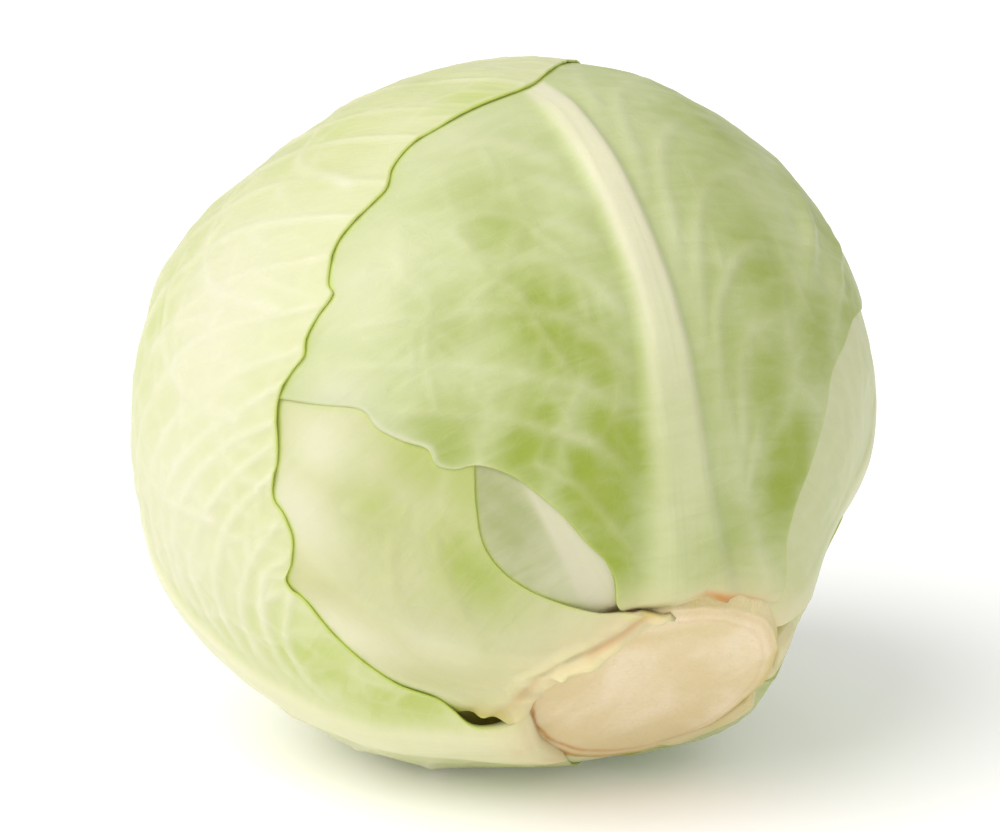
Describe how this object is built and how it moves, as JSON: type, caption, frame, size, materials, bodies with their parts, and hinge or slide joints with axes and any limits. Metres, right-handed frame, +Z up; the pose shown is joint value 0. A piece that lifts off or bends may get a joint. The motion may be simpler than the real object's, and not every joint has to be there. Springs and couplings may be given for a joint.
{
  "type": "cabbage head",
  "caption": "Firm white cabbage head lying on its side, thin leaves wrapped one over another around a packed heart, with a broad cut stump facing low to the front",
  "frame": {"origin": "Centre of the overall outline at the bottom, on the surface the head rests on. The head's own centre is straight above the middle of the flat spot.", "axes": "+Z up, -Y the front that shows the cut stump, the front leaf's midrib and the left leaf's edge; +X to the right seen from the front"},
  "size_m": [0.1613, 0.1567, 0.1548],
  "materials": {
    "left_leaf": "satin",
    "front_leaf": "satin",
    "back_leaf": "satin",
    "lower_leaf": "satin",
    "right_leaf": "satin",
    "under_leaf": "satin",
    "inner_leaf": "satin",
    "stub_right": "satin",
    "stub_lower": "satin",
    "heart": "satin",
    "stump": "matte"
  },
  "bodies": {
    "root": {"left_leaf": "left_leaf", "front_leaf": "front_leaf", "back_leaf": "back_leaf", "lower_leaf": "lower_leaf", "right_leaf": "right_leaf", "under_leaf": "under_leaf", "inner_leaf": "inner_leaf", "stub_right": "stub_right", "stub_lower": "stub_lower", "heart": "heart", "stump": "stump"}
  },
  "joints": []
}
